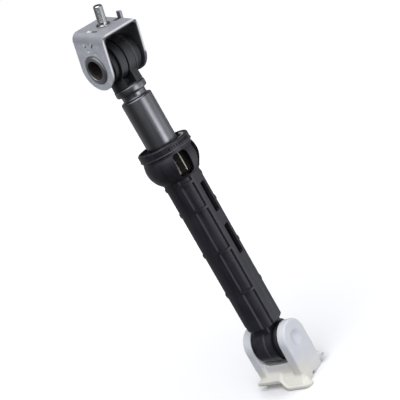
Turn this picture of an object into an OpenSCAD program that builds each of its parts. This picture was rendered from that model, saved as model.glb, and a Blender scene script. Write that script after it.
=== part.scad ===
// Friction strut of a washing machine: a moulded foot, a plastic housing with
// a clamped foam lining, a steel rod tube, and a folded steel bracket on top.
// Millimetres. +Z runs up the rod, +X along the lower pivot, and the origin
// is the middle of the foot's underside.

/* [Stance] */
// Turn of the upper pivot about the rod, in degrees
upper_turn = 77.5; // [0:0.5:180]
// Lean of the top bracket about its pivot, in degrees
bracket_lean = 20.6; // [-60:0.1:60]

/* [Foot bracket] */
// Height of the trough's floor above the ground
trough_z = 15.2; // [14:0.1:19]
// Gap between the trough's floor and the eye above it
trough_gap = 0.6; // [0.4:0.1:1.5]
// Thickness of an ear
ear_t = 6.9; // [6:0.1:9]
// How much smaller than the eye the round top of an ear is, in radius
ear_step = 1.4; // [0.8:0.1:2.5]
// Radius on the edges of an ear
ear_edge = 1; // [0.4:0.1:1.6]
// Radius where a lip meets an ear
foot_lip_round = 5; // [3:0.1:5.2]
// Thickness of a lip
foot_lip_t = 2.2; // [1.5:0.1:3]
// Height of the lips above the trough's floor
foot_trough_h = 1.2; // [0.8:0.1:2]
// Radius where the trough meets an ear
foot_trough_round = 2.4; // [1:0.1:2.6]
// Step from the side of an ear in to the block under it
block_step = 2.2; // [1.8:0.1:3.6]
// Height at which the wing side of an ear ends
ear_end_z = 9.5; // [8.8:0.1:11]
// Reach of a floor lobe past the ear, along the pivot
lobe_out = 4.7; // [3:0.1:7]
// Reach of a floor lobe past the block, across the pivot
lobe_side = 7.9; // [5.5:0.1:11]
// Thickness of a lobe at its edge
lobe_t = 2.5; // [1.5:0.1:3.5]
// Place along the pivot where a wing starts to fall to the lobe
ramp_from = -2.6; // [-6:0.1:0]
// Length of the fall from the wing to the lobe
ramp_length = 8.6; // [6:0.1:11]
// Radius on the corners of a lobe
lobe_round = 4.5; // [2:0.1:5]
// Reach of a raised wing past the ear, along the pivot
wing_out = 3.2; // [2:0.1:5]
// Reach of a raised wing past the block, across the pivot
wing_side = 4.2; // [3:0.1:6]
// Height of the gap under a wing
wing_z = 4.5; // [2:0.1:5]
// Thickness of a wing at its edge
wing_t = 2.5; // [1.5:0.1:3]
// Radius on the corners of a wing
wing_round = 1.6; // [1:0.1:2.4]
// Height of the ring moulded round the pin hole
ear_ring_h = 0.3; // [0.2:0.1:0.8]
// Width of that ring
ear_ring_w = 2; // [1:0.1:3]
// Gap between the pin hole and that ring
ear_ring_gap = 1.4; // [0.8:0.1:2]
// Thickness of the trough's floor over the two pockets under the block
pocket_floor = 4.2; // [3:0.1:6]
// Wall round those pockets
pocket_wall = 2.6; // [2:0.1:4]
// Width of the rib between the pockets
pocket_rib = 5; // [3:0.5:8]
// Width of the drain notch in a side wall
notch_w = 3.4; // [2:0.1:5]
// Height of the drain notch
notch_h = 2.2; // [1:0.1:3]
// Distance of the drain notch from the middle, towards the lobe
notch_y = 1.8; // [0:0.1:4]

/* [Lower pivot pin] */
// Radius of the pin
pin_r = 5; // [4.5:0.1:5.4]
// Depth of a pin end below the face of its ear
pin_sunk = 2.2; // [0.5:0.1:3]
// Wall round the hollow in a pin end
pin_wall = 2.6; // [1:0.1:3.4]
// Depth of the hollow in a pin end
pin_hollow_h = 1.2; // [0.6:0.1:4]

/* [Rubber bushes] */
// Wall of a pivot eye round its bush
eye_wall = 3.8; // [3:0.1:5]
// Half length of a pivot eye
eye_half = 7.6; // [6.5:0.1:9]
// Thickness of the rubber between the eye and the steel inside it
bush_wall = 2.15; // [1.8:0.05:3]
// Step from the eye's surface in to the edge of a flange
flange_step = 1.3; // [0.8:0.1:2]
// Thickness of the flange of a lower bush
lower_flange_t = 2.8; // [2:0.1:3.6]
// Thickness of the flange of an upper bush
upper_flange_t = 3.8; // [2.4:0.1:4.6]
// Gap between an eye and the rim of a flange
bush_groove_w = 0.7; // [0.4:0.1:1]
// Depth of the groove at the foot of a flange
bush_groove_h = 1.1; // [0.5:0.1:1.4]
// Gap between the two bushes in one eye
bush_split = 0.8; // [0.4:0.1:2]
// Place of the moulded groove round an eye
eye_groove_at = 1.4; // [0.8:0.1:2.5]
// Width of the moulded groove round an eye
eye_groove_w = 1.3; // [0.5:0.1:1.6]
// Depth of the moulded groove round an eye
eye_groove_h = 1.4; // [0.3:0.1:1.8]

/* [Housing] */
// Gap between the rod and the bore it runs in
bore_gap = 0.55; // [0.4:0.05:1]
// Wall of the housing round the bore
body_wall = 2.45; // [2:0.05:3.4]
// Gap between the lower eye and the lower end of the body
body_gap = 1.6; // [0.6:0.1:4]
// Radius on the lower end of the body
body_round = 2; // [0.5:0.1:2.6]
// Thickness of the floor under the bore
body_floor = 4.4; // [3:0.1:6]
// Step from an end of the lower eye in to the neck that carries it
neck_step = 0.4; // [0.2:0.1:1.5]
// Half depth of the neck that carries the lower eye
neck_y = 9.4; // [8:0.1:10.5]
// Radius on the corners of that neck
neck_round = 2; // [1:0.1:3]
// Length of the housing above the lower pivot
housing_h = 158; // [140:0.5:190]
// Angle of the first channel from the lower pivot, in degrees
channel_at = 45; // [43:0.5:47]
// Width of a channel's floor
channel_w = 6.6; // [5:0.1:8]
// Depth of a channel
channel_h = 1.35; // [0.8:0.05:1.5]
// Slope of a channel's sides: how much wider it gets over its depth
channel_slope = 1.9; // [0.4:0.1:2.2]
// Distance of the upper end of the channels below the rim
channel_high = 25; // [24.8:0.1:30]
// Thickness of the ribs across the channels
rib_t = 1.6; // [1:0.1:2.4]
// Width of a side slot
slot_w = 4.7; // [3:0.1:6]
// Length of a side slot
slot_h = 22.6; // [12:0.1:26]

/* [Housing head] */
// How far the bulged head stands out from the body
bulge_proud = 5.15; // [4.5:0.05:6]
// Distance of the fullest place of the bulge below the rim
bulge_drop = 13.1; // [12.5:0.1:13.5]
// Radius of the bulge's curve
bulge_curve = 16.1; // [15.5:0.1:17]
// Wall of the bulge
bulge_wall = 1.8; // [1.5:0.1:2.2]
// How far the rim stands out from the body
rim_proud = 4.55; // [4:0.05:5.5]
// Height of the rim
rim_h = 5.4; // [4.5:0.1:6]
// Radius on the edges of the rim
rim_edge = 0.9; // [0.4:0.1:1.2]
// Height of the waist under the rim
waist_h = 1.5; // [1:0.1:2]
// Step from the rim in to the waist under it
waist_step = 0.6; // [0.3:0.1:0.9]
// Wall of the rim round the open mouth
rim_wall = 2.1; // [1.8:0.1:2.8]
// Angle of the first window from the lower pivot, in degrees
window_at = 28.7; // [27.5:0.1:31]
// Width of a window
window_w = 11.2; // [8:0.1:11.6]
// Height of a window
window_h = 16.6; // [12:0.1:17]
// Distance of the top of the windows below the rim
window_drop = 7.2; // [7:0.1:8]
// Radius on the corners of a window
window_round = 3.2; // [0.5:0.1:4]

/* [Friction lining] */
// Thickness of the lining round the rod
lining_t = 2.25; // [1.8:0.05:3]
// Gap between the lower edge of the lining and the chamber's wall
lining_gap = 1.35; // [1:0.05:2]
// Width of the gap where the strip's ends meet
lining_split = 1.2; // [0.5:0.1:2]
// Height of an end ring of the lining's carrier
carrier_ring_h = 1.6; // [1.2:0.1:2]
// Number of slits between the carrier's bars
slit_count = 16; // [8:1:20]
// Width of a slit between two bars
slit_w = 1.6; // [0.8:0.1:2.4]
// Thickness of a carrier bar
bar_t = 1.4; // [1:0.1:1.8]
// Height of the guide in the mouth
guide_h = 3.4; // [2.5:0.1:3.6]
// Distance of the guide's top below the rim
guide_drop = 1.9; // [1:0.1:2.2]
// Width of the guide's top land beside the rod
guide_land = 1.6; // [1:0.1:2.5]
// Depth of the trough in the guide's top
guide_trough = 1.5; // [0.5:0.1:2]

/* [Rod] */
// Radius of the rod tube
rod_r = 10.75; // [10:0.05:12]
// Wall of the rod tube
rod_wall = 1.2; // [0.8:0.1:1.6]
// Length of tube that shows above the housing
rod_out = 34.4; // [32:0.1:60]
// Height of the crimped groove
crimp_h = 4; // [3:0.1:5]
// Depth of the crimped groove
crimp_depth = 2.45; // [1.6:0.05:3]
// Height of the tube above the crimped groove
collar_h = 4.9; // [3.5:0.1:6]
// Radius rolled on the tube's edges
roll_r = 0.9; // [0.4:0.1:1]
// Length of tube below the rim
rod_depth = 90; // [84:0.5:92]
// Height of the plug inside the tube
plug_in = 9; // [5:0.5:14]
// Step from the tube's bore in to the plug's waist
plug_step = 2.55; // [1.5:0.05:4]
// Height of the plug's waist
plug_waist_h = 6.6; // [4:0.1:7]
// Height of the disc at the plug's end
plug_disc_h = 2.6; // [1.5:0.1:3]
// Gap between the disc at the plug's end and the bore
plug_disc_gap = 1.5; // [0.8:0.1:2.4]
// Width of the split in the guide ring
ring_split = 1.4; // [0.6:0.1:3]
// Thickness of the rubber stop on the floor of the bore
buffer_h = 5; // [2:0.5:6]
// Radius of the hole in the rubber stop
buffer_bore_r = 3; // [1:0.5:6]

/* [Rod head] */
// Step from the tube in to the head that sits on it
head_step = 0.35; // [0.1:0.05:0.8]
// How much narrower the head's neck gets up to the eye, in radius
head_taper = 0.6; // [0.2:0.1:1]
// Height of the drum that the head sits on the tube with
head_drum_h = 5.3; // [4:0.1:7]
// Gap between the drum and the flanges above it
head_drum_gap = 0.5; // [0.4:0.1:2]
// Thickness of the floor under the pockets in the drum
head_floor_h = 0.6; // [0.4:0.1:2]
// Distance of a pocket's far wall from the rod's axis, across the pivot
head_pocket_y = 4; // [2:0.1:5]
// Distance of a pocket's inner wall from the middle, along the pivot
head_pocket_in = 0.5; // [0.2:0.1:2]
// Wall between a pocket and the end of the eye
head_pocket_wall = 0.9; // [0.6:0.1:3]
// Length of the head's spigot inside the tube, below the crimp
spigot_h = 2.7; // [1:0.1:8]

/* [Top bracket] */
// Gap between a cheek and the bush beside it
cheek_gap = 1.9; // [0.6:0.1:4]
// Depth of the bracket
bracket_d = 28; // [26:0.1:30]
// Gap between the eye and the web over it
web_gap = 7; // [6:0.1:11]
// Thickness of the steel
bracket_t = 2; // [1.5:0.1:2.5]
// Outside radius of a bend
bend_r = 5; // [3.5:0.1:6]
// Width of the locating tab
tab_w = 3.2; // [2:0.1:5]
// Height of the locating tab
tab_h = 4.1; // [3:0.1:7]
// Distance of the locating tab's slot from the outside of the bracket
tab_in = 3.8; // [3:0.1:5]
// Offset of the locating tab across the bracket
tab_y = -2.4; // [-6:0.1:6]
// Length of the slot that the tab was bent out of
tab_slot = 4.8; // [3:0.1:5]
// Radius of a stamped dimple
dimple_r = 1.1; // [0.6:0.1:1.5]
// Depth of a stamped dimple
dimple_h = 0.4; // [0.2:0.05:0.6]

/* [Stud] */
// Radius of the stud
stud_r = 3; // [2.5:0.1:4]
// Length of the stud above the bracket
stud_h = 13.2; // [10:0.1:24]
// Chamfer on the end of the stud
stud_chamfer = 0.8; // [0.3:0.1:1.2]
// How far the stud's collar stands out
stud_collar_out = 1.6; // [1:0.1:3]
// Height of the stud's collar
stud_collar_h = 1; // [0.5:0.1:2]
// How far the stud's head under the web stands out
stud_head_out = 3; // [2:0.1:4]
// Height of the stud's head
stud_head_h = 2.4; // [1.5:0.1:3]

/* [Hollow rivet] */
// Outer radius of the rivet
rivet_r = 6.6; // [6:0.1:7.4]
// Wall of the rivet
rivet_wall = 0.8; // [0.6:0.1:2]
// How far a rivet head stands out
rivet_head_out = 2.4; // [1.4:0.1:3.4]
// Height of a rivet head
rivet_head_h = 1.3; // [0.8:0.1:2]
// Wall of the steel tube round the rivet
spacer_wall = 1.65; // [1.2:0.05:2.4]

/* [Fits] */
// Radial clearance of a part that turns or slides on another
run = 0.05; // [0.02:0.01:0.1]
// Clearance between parts that are pressed or clipped together
seat = 0.02; // [0:0.01:0.05]
// Room between parts that pass each other
room = 0.3; // [0.25:0.05:0.5]

/* [Hidden] */

// Overrun of every cut past the surface that it opens
over = 0.5;

// Radii round the two pivots, from the rivet out to the ears
bush_bore_r = rivet_r + spacer_wall;
bush_r = bush_bore_r + bush_wall;
eye_r = bush_r + eye_wall;
bush_flange_r = eye_r - flange_step;
ear_r = eye_r - ear_step;
ear_w = 2 * ear_r;
rivet_bore_r = rivet_r - rivet_wall;
rivet_head_r = rivet_r + rivet_head_out;
ear_ring_bore_r = pin_r + ear_ring_gap;
ear_ring_r = ear_ring_bore_r + ear_ring_w;

// Radii round the rod, from its bore out to the rim
tube_bore_r = rod_r - rod_wall;
crimp_r = rod_r - crimp_depth;
crimp_bore_r = crimp_r - rod_wall;
head_r = rod_r - head_step;
head_neck_r = head_r - head_taper;
bore_r = rod_r + bore_gap;
body_r = bore_r + body_wall;
bulge_r = body_r + bulge_proud;
bulge_middle_r = bulge_r - bulge_curve;
chamber_r = bulge_curve - bulge_wall;
rim_r = body_r + rim_proud;
waist_r = rim_r - waist_step;
mouth_r = rim_r - rim_wall;
lining_r = rod_r + lining_t;
plug_waist_r = tube_bore_r - plug_step;
plug_disc_r = bore_r - plug_disc_gap;

// Heights along the rod
lower_pivot_z = trough_z + trough_gap + eye_r;
body_low_z = lower_pivot_z + eye_r + body_gap;
bore_low_z = body_low_z + body_floor;
rim_z = lower_pivot_z + housing_h;
bulge_z = rim_z - bulge_drop;
channel_high_z = rim_z - channel_high;
crimp_low_z = rim_z + rod_out;
crimp_high_z = crimp_low_z + crimp_h;
tube_top_z = crimp_high_z + collar_h;
column_z = tube_top_z + head_drum_h;
upper_pivot_z = column_z + head_drum_gap + bush_flange_r;
tube_low_z = rim_z - rod_depth;
ring_high_z = tube_low_z;
ring_low_z = ring_high_z - plug_waist_h;
guide_high_z = rim_z - guide_drop;
guide_low_z = guide_high_z - guide_h;
carrier_high_z = guide_low_z - seat;
lining_high_z = carrier_high_z - carrier_ring_h - seat;
lining_low_z = bulge_z - sqrt(pow(chamber_r, 2) - pow(lining_r + lining_gap - bulge_middle_r, 2));
lining_h = lining_high_z - lining_low_z;
carrier_low_z = lining_low_z - seat - carrier_ring_h;

// Places of the ribs and of the side slots, as shares of the channels' length
rib_places_share = [0.253, 0.526, 0.8, 0.966];
slot_places_share = [0.558, 0.836];

// Sizes of the foot
foot_gap = 2 * (eye_half + bush_groove_w + lower_flange_t + room);
foot_lip_z = trough_z + foot_trough_h;
foot_block_y = ear_r - block_step;
pocket_h = trough_z - pocket_floor;
ear_in_x = foot_gap / 2;
ear_out_x = ear_in_x + ear_t;
lobe_x = ear_out_x + lobe_out;
lobe_y = foot_block_y + lobe_side;
wing_x = ear_out_x + wing_out;
wing_y = foot_block_y + wing_side;
skirt_top_z = wing_z + wing_t + wing_side;
ramp_steps = 8;
cove_steps = 8;

// Sizes of the top bracket
cheek_in = eye_half + bush_groove_w + upper_flange_t + cheek_gap;
cheek_out = cheek_in + bracket_t;
bracket_w = 2 * cheek_out;
cheek_r = bracket_d / 2;
web_in = eye_r + web_gap;
bracket_h = web_in + bracket_t;
tab_x = cheek_out - tab_in;
stud_collar_r = stud_r + stud_collar_out;
stud_head_r = stud_r + stud_head_out;
quarter = [1, -1];

// A rectangle about the middle, with true arcs on its corners
module round_plate(w, d, r) {
    square([w - 2 * r, d], center = true);
    square([w, d - 2 * r], center = true);
    for (x = quarter, y = quarter)
        translate([x * (w / 2 - r), y * (d / 2 - r)]) circle(r, $fn = 32);
}

// The section of a disc from its axis out, with both rim edges rounded
module disc_section(r, t, edge) {
    square([r - edge, t]);
    translate([0, edge]) square([r, t - 2 * edge]);
    for (y = [edge, t - edge])
        translate([r - edge, y]) circle(edge, $fn = 24);
}

// Stands a shape that was drawn along +Z on the +X axis of a pivot
module along_pivot(z) {
    translate([0, 0, z]) rotate([0, 90, 0]) children();
}

// Puts a shape into the frame of the upper pivot, still upright
module on_upper_pivot() {
    translate([0, 0, upper_pivot_z]) rotate([0, 0, upper_turn]) children();
}

// Puts a shape into the leaning frame of the top bracket
module on_bracket() {
    on_upper_pivot() rotate([bracket_lean, 0, 0]) children();
}

// The height allowed over a cove, drawn from its wall out to its edge
module cove_section(wall, reach, edge_h, high) {
    difference() {
        square([reach, high]);
        translate([reach, edge_h + reach - wall]) circle(reach - wall, $fn = 64);
        translate([wall, edge_h + reach - wall]) square([reach, high]);
    }
}

// What a rounded corner takes away; side tells which way the corner faces
module round_off(x, y, r, side) {
    difference() {
        translate([x, y]) square(2 * r, center = true);
        translate([x - side * r, y + r]) circle(r, $fn = 48);
        translate([x - side * 2 * r, y]) square([2 * r, 4 * r], center = true);
        translate([x, y + 2 * r]) square([4 * r, 2 * r], center = true);
    }
}

// Share of the fall from the wing to the lobe at a place along the pivot
function fall(x) = let (u = min(1, max(0, (x - ramp_from) / ramp_length))) u * u * (3 - 2 * u);

// One section across the skirt: its underside, its edge and the cove above
function skirt_section(x) = let (
    share = fall(x),
    edge_y = wing_y + share * (lobe_y - wing_y),
    low = wing_z * (1 - share),
    edge_h = wing_t + share * (lobe_t - wing_t),
    reach = edge_y - foot_block_y,
    rise = skirt_top_z - low - edge_h
) concat(
    [[x, -foot_block_y + over, low], [x, -edge_y, low], [x, -edge_y, low + edge_h]],
    [for (i = [1 : cove_steps])
        let (turn = 90 * i / cove_steps)
            [x, -edge_y + reach * sin(turn), low + edge_h + rise * (1 - cos(turn))]],
    [[x, -foot_block_y + over, skirt_top_z]]
);

// The skirt on the -Y side: a wing held off the floor that falls to a lobe on it
module skirt() {
    ramp = [for (i = [0 : ramp_steps]) ramp_from + ramp_length * i / ramp_steps];
    places = concat([-wing_x], ramp, [lobe_x]);
    sections = [for (x = places) skirt_section(x)];
    n = len(sections[0]);
    last = len(places) - 1;
    sides = [for (k = [0 : last - 1], i = [0 : n - 1])
        [k * n + i, k * n + (i + 1) % n, (k + 1) * n + (i + 1) % n, (k + 1) * n + i]];
    ends = [[for (i = [n - 1 : -1 : 0]) i], [for (i = [0 : n - 1]) last * n + i]];
    lobe_scoop_r = lobe_y - foot_block_y;
    wing_scoop_r = wing_y - foot_block_y + wing_round;
    points = [for (part = sections) each part];
    intersection() {
        polyhedron(points = points, faces = concat(sides, ends), convexity = 6);
        rotate([90, 0, 0]) linear_extrude(height = 2 * lobe_y) union() {
            cove_section(ear_out_x, lobe_x, lobe_t, skirt_top_z);
            mirror([1, 0]) cove_section(ear_out_x, wing_x, wing_z + wing_t, skirt_top_z);
        }
        linear_extrude(height = skirt_top_z) difference() {
            translate([-wing_x, -lobe_y]) square([wing_x + lobe_x, lobe_y]);
            translate([ear_out_x, -foot_block_y + lobe_round]) {
                translate([lobe_scoop_r, 0]) circle(lobe_scoop_r, $fn = 64);
                square([lobe_scoop_r, foot_block_y]);
            }
            translate([-ear_out_x - wing_scoop_r, -foot_block_y + wing_round]) {
                circle(wing_scoop_r, $fn = 48);
                square([wing_scoop_r, foot_block_y]);
            }
            round_off(lobe_x, -lobe_y, lobe_round, 1);
            round_off(-wing_x, -wing_y, wing_round, -1);
        }
    }
}

// One ear in the +X place: a rounded bar with a round head. Over the lobe it
// runs down to the ground, and over the wing it ends above it.
module foot_ear() {
    along_pivot(lower_pivot_z) translate([0, 0, ear_in_x])
        rotate_extrude($fn = 96) disc_section(ear_r, ear_t, ear_edge);
    translate([ear_in_x + ear_t / 2, 0, ear_end_z])
        linear_extrude(height = lower_pivot_z - ear_end_z) round_plate(ear_t, ear_w, ear_edge);
    translate([ear_in_x + ear_t / 2, 0, 0]) linear_extrude(height = lower_pivot_z) intersection() {
        round_plate(ear_t, ear_w, ear_edge);
        translate([-ear_t, -ear_w]) square([2 * ear_t, ear_w]);
    }
    along_pivot(lower_pivot_z) translate([0, 0, ear_out_x - ear_edge])
        cylinder(r = ear_ring_r, h = ear_edge + ear_ring_h, $fn = 72);
}

// The section of the gap between the ears, down to a floor with round corners
module gap_section(floor_z, r) {
    translate([0, floor_z + ear_r]) round_plate(foot_gap, ear_w, r);
}

// The block that joins the ears, with lips and a trough under the eye
module foot_block() {
    lip_in_y = foot_block_y - foot_lip_t;
    difference() {
        translate([-ear_out_x, -foot_block_y, 0])
            cube([2 * ear_out_x, 2 * foot_block_y, foot_lip_z + foot_lip_round]);
        rotate([90, 0, 0]) linear_extrude(height = 3 * foot_block_y, center = true)
            gap_section(foot_lip_z, foot_lip_round);
        rotate([90, 0, 0]) linear_extrude(height = 2 * lip_in_y, center = true)
            gap_section(foot_lip_z - foot_trough_h, foot_trough_round);
    }
}

// The two pockets that open below, either side of the middle rib
module foot_pockets() {
    w = ear_out_x - pocket_wall - pocket_rib / 2;
    d = 2 * (foot_block_y - pocket_wall);
    for (side = quarter)
        translate([side * (pocket_rib + w) / 2, 0, -over]) linear_extrude(height = pocket_h + over)
            round_plate(w, d, pocket_wall / 2);
}

module foot_bracket() {
    color([0.93, 0.94, 0.95]) difference() {
        union() {
            foot_block();
            for (turn = [0, 180]) rotate([0, 0, turn]) {
                foot_ear();
                skirt();
            }
        }
        foot_pockets();
        along_pivot(lower_pivot_z)
            cylinder(r = pin_r + seat, h = 3 * ear_out_x, center = true, $fn = 72);
        for (turn = [0, 180]) rotate([0, 0, turn]) {
            along_pivot(lower_pivot_z) translate([0, 0, ear_out_x])
                cylinder(r = ear_ring_bore_r, h = ear_ring_h + over, $fn = 72);
            translate([ear_out_x - pocket_wall - over, -notch_y - notch_w / 2, -over])
                cube([pocket_wall + lobe_x, notch_w, notch_h + over]);
        }
    }
}

module lower_pivot_pin() {
    half = ear_out_x - pin_sunk;
    color([0.9, 0.91, 0.92]) along_pivot(lower_pivot_z) difference() {
        cylinder(r = pin_r, h = 2 * half, center = true, $fn = 72);
        for (side = quarter)
            translate([0, 0, side * half])
                cylinder(r = pin_r - pin_wall, h = 2 * pin_hollow_h, center = true, $fn = 48);
    }
}

// The groove moulded round an eye, as a shape to take away, on +Z
module eye_groove() {
    translate([0, 0, eye_groove_at]) rotate_extrude($fn = 96)
        translate([eye_r - eye_groove_h, -eye_groove_w / 2])
            square([eye_groove_h + over, eye_groove_w]);
}

// The section of the housing's outside, from the lower end of the body up
module housing_section() {
    round_z = body_low_z + body_round;
    waist_z = rim_z - rim_h;
    translate([0, round_z]) square([body_r, bulge_z - round_z]);
    translate([0, body_low_z]) square([body_r - body_round, 2 * body_round]);
    translate([body_r - body_round, round_z]) circle(body_round, $fn = 48);
    intersection() {
        translate([bulge_middle_r, bulge_z]) circle(bulge_curve, $fn = 144);
        translate([0, bulge_z - bulge_curve])
            square([bulge_r, waist_z - waist_h - bulge_z + bulge_curve]);
    }
    translate([0, bulge_z]) square([waist_r, waist_z - bulge_z]);
    translate([0, waist_z]) square([rim_r - rim_edge, rim_h]);
    translate([0, waist_z + rim_edge]) square([rim_r, rim_h - 2 * rim_edge]);
    for (z = [waist_z + rim_edge, rim_z - rim_edge])
        translate([rim_r - rim_edge, z]) circle(rim_edge, $fn = 24);
}

// The section of the hollow, made smaller by a gap: bore, bulged chamber and mouth
module hollow_section(gap) {
    r = chamber_r - gap;
    translate([0, bore_low_z]) square([bore_r - gap, rim_z - bore_low_z]);
    intersection() {
        translate([bulge_middle_r, bulge_z]) circle(r, $fn = 144);
        translate([0, bulge_z - r]) square([bulge_r, r + bulge_drop]);
    }
    translate([0, bulge_z]) square([mouth_r - gap, bulge_drop + over]);
}

// The section of one channel, with sides that spread outwards
module channel_section() {
    floor_x = sqrt(pow(body_r - channel_h, 2) - pow(channel_w / 2, 2));
    out_x = body_r + over;
    half = channel_w / 2;
    wide = half + channel_slope * (out_x - floor_x) / channel_h;
    polygon([
        [floor_x - channel_h, -half], [floor_x, -half], [out_x, -wide],
        [out_x, wide], [floor_x, half], [floor_x - channel_h, half]
    ]);
}

// The channels down the body, broken by the ribs
module channels() {
    stops = [for (share = rib_places_share) body_low_z + share * (channel_high_z - body_low_z)];
    lows = concat([body_low_z - over], [for (z = stops) z + rib_t / 2]);
    highs = concat([for (z = stops) z - rib_t / 2], [channel_high_z]);
    difference() {
        for (turn = [0 : 90 : 270], i = [0 : len(stops)])
            rotate([0, 0, channel_at + turn]) translate([0, 0, lows[i]])
                linear_extrude(height = highs[i] - lows[i]) channel_section();
        translate([0, 0, body_low_z - 2 * over])
            cylinder(r = body_r - channel_h, h = rim_z - body_low_z, $fn = 120);
    }
}

// The windows of the head, as shapes to take away
module windows() {
    for (turn = [window_at, 180 - window_at, 180 + window_at, -window_at])
        rotate([0, 0, turn])
            translate([rod_r, 0, rim_z - window_drop - window_h / 2]) rotate([90, 0, 90])
                linear_extrude(height = bulge_r) round_plate(window_w, window_h, window_round);
}

// The long slots in the two sides, with round ends
module side_slots() {
    for (turn = [0, 180], share = slot_places_share)
        rotate([0, 0, turn])
            translate([rod_r, 0, body_low_z + share * (channel_high_z - body_low_z)])
                rotate([90, 0, 90]) linear_extrude(height = body_r)
                    round_plate(slot_w, slot_h, slot_w / 4);
}

module damper_housing() {
    color([0.13, 0.13, 0.15]) difference() {
        union() {
            rotate_extrude($fn = 120) housing_section();
            translate([0, 0, lower_pivot_z])
                linear_extrude(height = body_low_z - lower_pivot_z + body_floor / 2)
                    round_plate(2 * (eye_half - neck_step), 2 * neck_y, neck_round);
            along_pivot(lower_pivot_z) cylinder(r = eye_r, h = 2 * eye_half, center = true, $fn = 96);
        }
        rotate_extrude($fn = 120) hollow_section(0);
        channels();
        windows();
        side_slots();
        along_pivot(lower_pivot_z) {
            cylinder(r = bush_r + seat, h = 3 * eye_half, center = true, $fn = 96);
            eye_groove();
        }
    }
}

// Half of a split rubber bush on +Z, with its flange outside the eye
module half_bush(flange_t) {
    color([0.1, 0.1, 0.11]) rotate_extrude($fn = 96) difference() {
        union() {
            translate([bush_bore_r, bush_split / 2])
                square([bush_r - bush_bore_r, eye_half + bush_groove_w - bush_split / 2]);
            translate([bush_bore_r, eye_half + seat])
                square([bush_flange_r - bush_groove_h - bush_bore_r, bush_groove_w]);
            intersection() {
                translate([0, eye_half + bush_groove_w])
                    disc_section(bush_flange_r, flange_t, flange_t / 4);
                translate([bush_bore_r, eye_half]) square([bush_flange_r, 2 * flange_t]);
            }
        }
        translate([bush_r - bush_groove_h, eye_half + flange_t])
            square([bush_groove_h, bush_groove_w + over]);
    }
}

module lower_bush_near() {
    along_pivot(lower_pivot_z) half_bush(lower_flange_t);
}

module lower_bush_far() {
    along_pivot(lower_pivot_z) mirror([0, 0, 1]) half_bush(lower_flange_t);
}

module lower_bush_sleeve() {
    half = ear_in_x - room;
    color([0.62, 0.6, 0.56]) along_pivot(lower_pivot_z) difference() {
        cylinder(r = bush_bore_r - seat, h = 2 * half, center = true, $fn = 96);
        cylinder(r = pin_r + run, h = 3 * half, center = true, $fn = 96);
    }
}

module mouth_guide() {
    color([0.11, 0.11, 0.12]) rotate_extrude($fn = 120) difference() {
        translate([rod_r + run, guide_low_z]) square([mouth_r - seat - rod_r - run, guide_h]);
        translate([rod_r + run + guide_land, guide_high_z - guide_trough])
            square([mouth_r - rod_r - 2 * guide_land, guide_trough + over]);
    }
}

// The section of the lining's carrier: two rings and the bars between them, all
// kept clear of the chamber's wall
module carrier_section() {
    h = carrier_high_z - carrier_low_z;
    bar_r = lining_r + seat + bar_t;
    intersection() {
        hollow_section(room);
        difference() {
            translate([rod_r + room, carrier_low_z]) square([mouth_r, h]);
            translate([0, lining_low_z - seat]) square([lining_r + seat, lining_h + 2 * seat]);
            translate([bar_r, carrier_low_z - over]) square([mouth_r, over + h - carrier_ring_h]);
        }
    }
}

module lining_carrier() {
    color([0.2, 0.15, 0.12]) difference() {
        rotate_extrude($fn = 120) carrier_section();
        for (i = [0 : slit_count - 1])
            rotate([0, 0, 360 * i / slit_count]) translate([rod_r + room, -slit_w / 2, lining_low_z])
                cube([mouth_r, slit_w, lining_h]);
    }
}

module friction_lining() {
    color([0.8, 0.74, 0.58]) translate([0, 0, lining_low_z]) difference() {
        cylinder(r = lining_r, h = lining_h, $fn = 96);
        translate([0, 0, -over]) cylinder(r = rod_r + run, h = lining_h + 2 * over, $fn = 96);
        translate([-lining_r - over, -lining_split / 2, -over])
            cube([lining_r + over, lining_split, lining_h + 2 * over]);
    }
}

module bottom_buffer() {
    color([0.12, 0.12, 0.12]) translate([0, 0, bore_low_z]) difference() {
        cylinder(r = bore_r - room, h = buffer_h, $fn = 72);
        translate([0, 0, -over]) cylinder(r = buffer_bore_r, h = buffer_h + 2 * over, $fn = 48);
    }
}

module rod_guide_ring() {
    gap = 2 * run;
    color([0.75, 0.73, 0.66]) translate([0, 0, ring_low_z + gap]) difference() {
        cylinder(r = bore_r - run, h = ring_high_z - ring_low_z - 2 * gap, $fn = 96);
        translate([0, 0, -over])
            cylinder(r = plug_waist_r + run, h = plug_waist_h + 2 * over, $fn = 96);
        translate([0, -ring_split / 2, -over]) cube([bore_r, ring_split, plug_waist_h + 2 * over]);
    }
}

// The section of the tube's outside, with its crimped groove and rolled edges
module tube_section() {
    square_top = crimp_low_z - roll_r;
    translate([0, tube_low_z]) square([rod_r, square_top - tube_low_z]);
    translate([0, square_top]) square([rod_r - roll_r, roll_r]);
    translate([rod_r - roll_r, square_top]) circle(roll_r, $fn = 32);
    translate([0, crimp_low_z]) square([crimp_r, crimp_h]);
    translate([0, crimp_high_z]) disc_section(rod_r, collar_h, roll_r);
}

// The hollow of the tube, which keeps the wall even through the crimp
module tube_hollow_section() {
    translate([0, tube_low_z - over]) square([tube_bore_r, crimp_low_z - tube_low_z - rod_wall + over]);
    translate([0, crimp_low_z - 2 * rod_wall]) square([crimp_bore_r, crimp_h + 4 * rod_wall]);
    translate([0, crimp_high_z + rod_wall]) square([tube_bore_r, collar_h]);
}

module rod_tube() {
    color([0.42, 0.42, 0.44]) rotate_extrude($fn = 120) difference() {
        tube_section();
        tube_hollow_section();
    }
}

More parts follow.
